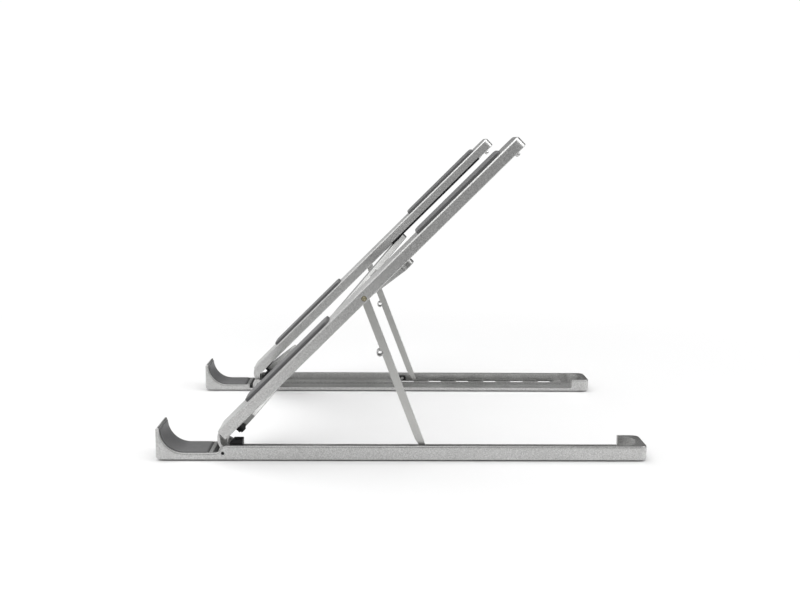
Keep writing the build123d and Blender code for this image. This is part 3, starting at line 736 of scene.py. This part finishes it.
class STAND_OT_hinges(bpy.types.Operator):
    """Makes the hinge pins, the black blocks behind them and the fillers in front"""
    bl_idname = "stand.hinges"
    bl_label = "Hinges"

    def stud(self, half, outward, fittings):
        node = f"{half}_hinge_pin"
        matrix, size = seat(node, ALONG_BASE)
        radius, reach = size.x / 2, size.y / 2
        profile = [(0, -reach + 0.1 * MM), (0.5 * radius, -reach), (0.8 * radius, -reach),
                   (radius, -reach + 0.2 * MM), (radius, reach - 0.2 * MM),
                   (0.8 * radius, reach), (0.45 * radius, reach),
                   (0.35 * radius, reach - 0.15 * MM), (0, reach - 0.15 * MM)]
        upend = Matrix.Rotation(math.radians(90), 4, "X")
        mirror = Matrix.Scale(outward, 4, (0, 0, 1))
        placed(turned(profile, fittings.turns), f"{half}_hinge_stud", node, matrix @ upend @ mirror)

    def buffer(self, half, outward, fittings):
        node = f"{half}_hinge_block"
        matrix, size = seat(node, ALONG_BASE)
        bm = block(size)
        nose = [e for e in upright(bm, 1) if e.verts[0].co.x < 0 < e.verts[0].co.z]
        round_edges(bm, nose, fittings.buffer_nose, 1)
        bmesh.ops.inset_region(bm, faces=[level(bm, outward, 1)],
                               thickness=fittings.buffer_border, depth=0)
        bmesh.ops.inset_region(bm, faces=[level(bm, outward, 1)],
                               thickness=0.15 * MM, depth=-fittings.buffer_hollow)
        round_edges(bm, creases(bm, 30), fittings.edge * 0.6, 2)
        placed(bm, f"{half}_hinge_buffer", node, matrix)

    def filler(self, half, fittings):
        node = f"{half}_hinge_liner"
        matrix, size = seat(node, ALONG_BASE)
        bm = block(size)
        round_edges(bm, bm.edges, fittings.edge * 0.5, 2)
        placed(bm, f"{half}_hinge_filler", node, matrix)

    def execute(self, context):
        fittings = context.scene.stand_fittings
        for half, outward in zip(HALVES, (1, -1)):
            self.stud(half, outward, fittings)
            self.buffer(half, outward, fittings)
            self.filler(half, fittings)
        return {"FINISHED"}


class STAND_OT_stops(bpy.types.Operator):
    """Finishes the stop blocks in front of the slot rows, and their screws"""
    bl_idname = "stand.stops"
    bl_label = "Stop blocks"

    def execute(self, context):
        coat([f"{half}_{part}" for half in HALVES for part in ("stop_block", "stop_screw")])
        return {"FINISHED"}


# The row of slots in a base: back from its front, across from its inner face, up from the floor
FIRST_SLOT = 131.6 * MM
SLOT_PITCH = 18.1 * MM
SLOT_COUNT = 6
SLOT_LENGTH = 8.4 * MM
HALF_SLOT = 3.3 * MM
LANE_CENTRE = 16.0 * MM
SHELF_TOP = 3.8 * MM


class STAND_OT_slot_rims(bpy.types.Operator):
    """Makes the bright coined rims along the slots' inner edges"""
    bl_idname = "stand.slot_rims"
    bl_label = "Slot rims"

    def execute(self, context):
        fittings = context.scene.stand_fittings
        width, height, sunk = fittings.rim_width, fittings.rim_height, 0.1 * MM
        for half, outward in zip(HALVES, (-1, 1)):
            low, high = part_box(f"{half}_base")
            inner = min(outward * low.y, outward * high.y)
            bm = bmesh.new()
            for step in range(SLOT_COUNT):
                grown = bmesh.ops.create_cube(bm, size=1.0)["verts"]
                bmesh.ops.scale(bm, vec=(SLOT_LENGTH, width, height + sunk), verts=grown)
                spot = (low.x + FIRST_SLOT + step * SLOT_PITCH,
                        outward * (inner + LANE_CENTRE - HALF_SLOT - width / 2),
                        SHELF_TOP + (height - sunk) / 2)
                bmesh.ops.translate(bm, vec=spot, verts=grown)
            crest = [e for e in bm.edges if min(v.co.z for v in e.verts) > SHELF_TOP]
            round_edges(bm, crest, height * 0.9, 1)
            placed(bm, f"{half}_slot_rims", f"{half}_base", smooth=20.0, detail_slot="pin_steel")
        return {"FINISHED"}


class STAND_OT_strut_fittings(bpy.types.Operator):
    """Makes the strut rivets and the roll pins in the struts' front edges"""
    bl_idname = "stand.strut_fittings"
    bl_label = "Strut fittings"

    def rivet(self, half, outward, steps):
        node = f"{half}_strut_rivet"
        matrix, size = seat(node, ALONG_BASE)
        head, reach = size.x / 2, size.y / 2
        shank = 0.76 * head
        profile = [(0, -reach), (shank, -reach), (shank, reach - 0.8 * MM),
                   (head, reach - 0.8 * MM), (head, reach - 0.25 * MM), (0.9 * head, reach),
                   (0.62 * head, reach), (0.5 * head, reach - 0.3 * MM),
                   (0.2 * head, reach - 0.4 * MM), (0, reach - 0.4 * MM)]
        out = Matrix.Rotation(math.radians(-90 * outward), 4, "X")
        stud = turned(profile, steps)
        placed(stud, f"{half}_strut_stud", node, matrix @ out, TURNED_SMOOTH)

    def roll_pin(self, half, fittings):
        node = f"{half}_strut_roll_pin"
        matrix, size = seat(node, ALONG_STRUT, -ACROSS)
        radius, gap = size.x / 2, fittings.pin_gap
        bm = bmesh.new()
        ends = [bm.verts.new((0, -size.y / 2, inset - radius)) for inset in (0, fittings.pin_wall)]
        spoke = bm.edges.new(ends)
        bmesh.ops.rotate(bm, cent=(0, 0, 0), matrix=Matrix.Rotation(gap / 2, 3, "Y"), verts=ends)
        bmesh.ops.spin(bm, geom=[spoke, *ends], cent=(0, 0, 0), axis=(0, 1, 0),
                       angle=2 * math.pi - gap, steps=fittings.turns)
        bmesh.ops.remove_doubles(bm, verts=bm.verts, dist=SAME_PLACE)
        widen(bm, size.y)
        round_edges(bm, creases(bm, 40), 0.1 * MM, 2)
        placed(bm, f"{half}_rolled_pin", node, matrix)

    def execute(self, context):
        fittings = context.scene.stand_fittings
        for half, outward in zip(HALVES, (-1, 1)):
            self.rivet(half, outward, fittings.turns)
            self.roll_pin(half, fittings)
        return {"FINISHED"}


# Radius of the rivet through a crossbar's lower pivot, and of the washer's bore
PIVOT_SHANK = 1.2 * MM


class STAND_OT_bar_fittings(bpy.types.Operator):
    """Makes the crossbars' caps, pivot rivets, washers and middle rivet"""
    bl_idname = "stand.bar_fittings"
    bl_label = "Crossbar fittings"

    def cap(self, which, edge):
        node = f"crossbar_{which}_cap"
        run = bar_run(which)
        matrix, size = seat(node, run, SQUARE_TO_ARM.cross(run))
        bm = block(size)
        round_edges(bm, upright(bm), 1.2 * MM, 6)
        round_edges(bm, [*level(bm, 1).edges, *level(bm, -1).edges], edge, 3)
        placed(bm, f"crossbar_{which}_end", node, matrix)

    def rivet(self, half, steps):
        node = f"{half}_crossbar_rivet"
        matrix, size = seat(node, ALONG_ARM)
        head, reach = size.x / 2, size.z / 2
        profile = [(0, -reach + 0.25 * MM), (0.45 * head, -reach + 0.2 * MM),
                   (0.55 * head, -reach), (0.85 * head, -reach), (head, -reach + 0.3 * MM),
                   (head, -reach + 0.7 * MM), (PIVOT_SHANK, -reach + 0.7 * MM),
                   (PIVOT_SHANK, reach), (0, reach)]
        placed(turned(profile, steps), f"{half}_pivot_stud", node, matrix, TURNED_SMOOTH)

    def washer(self, half, steps):
        node = f"{half}_pivot_washer"
        matrix, size = seat(node, ALONG_ARM)
        rim, reach, break_edge = size.x / 2, size.z / 2, 0.1 * MM
        profile = [(PIVOT_SHANK, -reach), (rim - break_edge, -reach), (rim, -reach + break_edge),
                   (rim, reach - break_edge), (rim - break_edge, reach),
                   (PIVOT_SHANK, reach), (PIVOT_SHANK, -reach)]
        placed(turned(profile, steps), f"{half}_pivot_spacer", node, matrix, TURNED_SMOOTH)

    def middle(self, steps):
        node = "centre_rivet"
        matrix, size = seat(node, ALONG_ARM)
        head, reach = size.x / 2, size.z / 2
        neck, thick = 1.5 * MM, 0.55 * MM
        lower = [(0, -reach + 0.2 * MM), (0.5 * head, -reach + 0.15 * MM), (0.6 * head, -reach),
                 (0.88 * head, -reach), (head, -reach + 0.2 * MM), (head, -reach + thick),
                 (neck, -reach + thick)]
        upper = [(radius, -height) for radius, height in reversed(lower)]
        placed(turned(lower + upper, steps), "middle_stud", node, matrix, TURNED_SMOOTH)

    def execute(self, context):
        fittings = context.scene.stand_fittings
        for which in ("a", "b"):
            self.cap(which, fittings.edge)
        for half in HALVES:
            self.rivet(half, fittings.turns)
            self.washer(half, fittings.turns)
        self.middle(fittings.turns)
        return {"FINISHED"}


class STAND_OT_slides(bpy.types.Operator):
    """Finishes the slide rails under the arms and the sliders in them"""
    bl_idname = "stand.slides"
    bl_label = "Slides"

    def execute(self, context):
        coat([f"{half}_slide_rail" for half in HALVES])
        coat(["crossbar_a_slider", "crossbar_b_slider"])
        return {"FINISHED"}


# Distance from the middle over which the floor fades to an even white
FLOOR_FADE = (0.22, 0.5)
# Strength of that white, and of the background, to the camera and to reflections
WHITE = 1.02
WHITE_IN_REFLECTIONS = 0.42
# How much the studio behind the stand is darkened for reflections
SCREEN = 0.94
# Name, place, aim, sides in metres and watts of each softbox
SOFTBOXES = (
    ("overhead", (-0.1, 0.1, 1.3), (0, 0, 0), (1.9, 1.7), 15.0),
    ("right side", (1.1, -0.15, 0.9), (0.05, 0, 0.1), (0.4, 0.4), 3.0),
    ("left front", (-0.9, -1.1, 0.8), (0, 0, 0.05), (0.8, 0.8), 1.5),
)


class STAND_OT_stage(bpy.types.Operator):
    """Lays the pale floor, hangs the soft lights and sets up the camera"""
    bl_idname = "stand.stage"
    bl_label = "Stage"

    def softbox(self, scene, name, place, aim, sides, watts):
        light = bpy.data.lights.new(name, "AREA")
        light.shape = "RECTANGLE"
        light.size, light.size_y = sides
        light.energy = watts
        lamp = bpy.data.objects.new(name, light)
        scene.collection.objects.link(lamp)
        lamp.location = place
        lamp.rotation_euler = (Vector(aim) - Vector(place)).to_track_quat("-Z", "Y").to_euler()
        lamp.visible_camera = False

    def lay_floor(self, scene, stage):
        bm = bmesh.new()
        bmesh.ops.create_grid(bm, x_segments=1, y_segments=1, size=stage.floor / 2)
        mesh = bpy.data.meshes.new("floor")
        bm.to_mesh(mesh)
        bm.free()
        floor = bpy.data.objects.new("floor", mesh)
        scene.collection.objects.link(floor)
        mesh.materials.append(self.pale_floor(stage))

    def pale_floor(self, stage):
        """Satin near the stand, fading to an even white that is dimmer in reflections."""
        material, tree, shader, place = new_material("Pale floor")
        shader.inputs["Base Color"].default_value = (*stage.pale, 1.0)
        shader.inputs["Roughness"].default_value = 0.4
        shader.inputs["Specular IOR Level"].default_value = 0.3
        reach = add(tree, "ShaderNodeVectorMath", {0: place}, operation="LENGTH")
        far = eased(tree, reach.outputs["Value"], *FLOOR_FADE)
        seen = add(tree, "ShaderNodeLightPath").outputs["Is Camera Ray"]
        strength = add(tree, "ShaderNodeMix", {0: seen, 2: WHITE_IN_REFLECTIONS, 3: WHITE})
        even = add(tree, "ShaderNodeEmission", {"Strength": strength.outputs[0]})
        blend = add(tree, "ShaderNodeMixShader", {0: far, 1: shader.outputs[0], 2: even.outputs[0]})
        tree.links.new(blend.outputs[0], tree.nodes["Material Output"].inputs["Surface"])
        return material

    def light_studio(self, scene):
        """White to the camera; in reflections a studio with a dark screen behind the stand."""
        world = bpy.data.worlds.new("studio")
        world.use_nodes = True
        scene.world = world
        tree = world.node_tree
        tree.nodes.clear()
        direction = add(tree, "ShaderNodeTexCoord").outputs["Generated"]
        parts = add(tree, "ShaderNodeSeparateXYZ", {"Vector": direction}).outputs
        front = eased(tree, parts["Y"], -0.9, 0.1, low=0.45)
        # The screen's front, lower, upper and left edges
        behind = eased(tree, parts["Y"], 0.1, 0.55)
        over = eased(tree, parts["Z"], -0.05, 0.03)
        under = eased(tree, parts["Z"], 0.9, 0.65)
        beside = eased(tree, parts["X"], -0.34, -0.12)
        upper = maths(tree, "MULTIPLY", over, under)
        screen = maths(tree, "MULTIPLY", maths(tree, "MULTIPLY", behind, beside), upper)
        studio = maths(tree, "MULTIPLY", front, maths(tree, "MULTIPLY_ADD", screen, -SCREEN, 1.0))
        seen = add(tree, "ShaderNodeLightPath").outputs["Is Camera Ray"]
        white = add(tree, "ShaderNodeBackground", {"Color": (1, 1, 1, 1), "Strength": WHITE})
        soft = add(tree, "ShaderNodeBackground", {"Color": (1, 1, 1, 1), "Strength": studio})
        either = add(tree, "ShaderNodeMixShader", {0: seen, 1: soft.outputs[0], 2: white.outputs[0]})
        out = add(tree, "ShaderNodeOutputWorld")
        tree.links.new(either.outputs[0], out.inputs["Surface"])

    def set_camera(self, scene, stage):
        lens = bpy.data.cameras.new("camera")
        lens.lens = stage.lens
        lens.sensor_width = 36.0
        lens.clip_start = 0.01
        camera = bpy.data.objects.new("camera", lens)
        scene.collection.objects.link(camera)
        forward = Vector((math.sin(stage.yaw) * math.cos(stage.pitch),
                          math.cos(stage.yaw) * math.cos(stage.pitch), -math.sin(stage.pitch)))
        right = Vector((math.cos(stage.yaw), -math.sin(stage.yaw), 0))
        up = right.cross(forward)
        turn = Quaternion(forward, -stage.roll)
        axes = Matrix((turn @ right, turn @ up, -forward)).transposed().to_4x4()
        camera.matrix_world = Matrix.Translation(stage.camera_place) @ axes
        scene.camera = camera

    def execute(self, context):
        scene = context.scene
        self.lay_floor(scene, scene.stand_stage)
        self.light_studio(scene)
        for name, place, aim, sides, watts in SOFTBOXES:
            self.softbox(scene, name, place, aim, sides, watts)
        self.set_camera(scene, scene.stand_stage)
        scene.view_settings.view_transform = "Standard"
        return {"FINISHED"}


class STAND_PT_panel(bpy.types.Panel):
    """Sidebar panel that lists the stand's pieces and stage"""
    bl_idname = "STAND_PT_panel"
    bl_label = "Folding laptop stand"
    bl_space_type = "VIEW_3D"
    bl_region_type = "UI"
    bl_category = "Stand"

    def draw(self, context):
        for step in STEPS:
            self.layout.operator(step.bl_idname)


STEPS = (
    STAND_OT_metalwork,
    STAND_OT_hook_liners,
    STAND_OT_arm_pads,
    STAND_OT_feet,
    STAND_OT_catches,
    STAND_OT_hinges,
    STAND_OT_stops,
    STAND_OT_slot_rims,
    STAND_OT_strut_fittings,
    STAND_OT_bar_fittings,
    STAND_OT_slides,
    STAND_OT_stage,
)
SETTINGS = {
    "stand_pads": StandPadSettings,
    "stand_metal": StandMetalSettings,
    "stand_fittings": StandFittingSettings,
    "stand_stage": StandStageSettings,
}
CLASSES = (*SETTINGS.values(), *STEPS, STAND_PT_panel)


def register():
    for cls in CLASSES:
        bpy.utils.register_class(cls)
    for name, settings in SETTINGS.items():
        setattr(bpy.types.Scene, name, PointerProperty(type=settings))


def unregister():
    for name in SETTINGS:
        delattr(bpy.types.Scene, name)
    for cls in reversed(CLASSES):
        bpy.utils.unregister_class(cls)


def main():
    register()
    for step in STEPS:
        group, call = step.bl_idname.split(".")
        getattr(getattr(bpy.ops, group), call)()


if __name__ == "__main__":
    main()
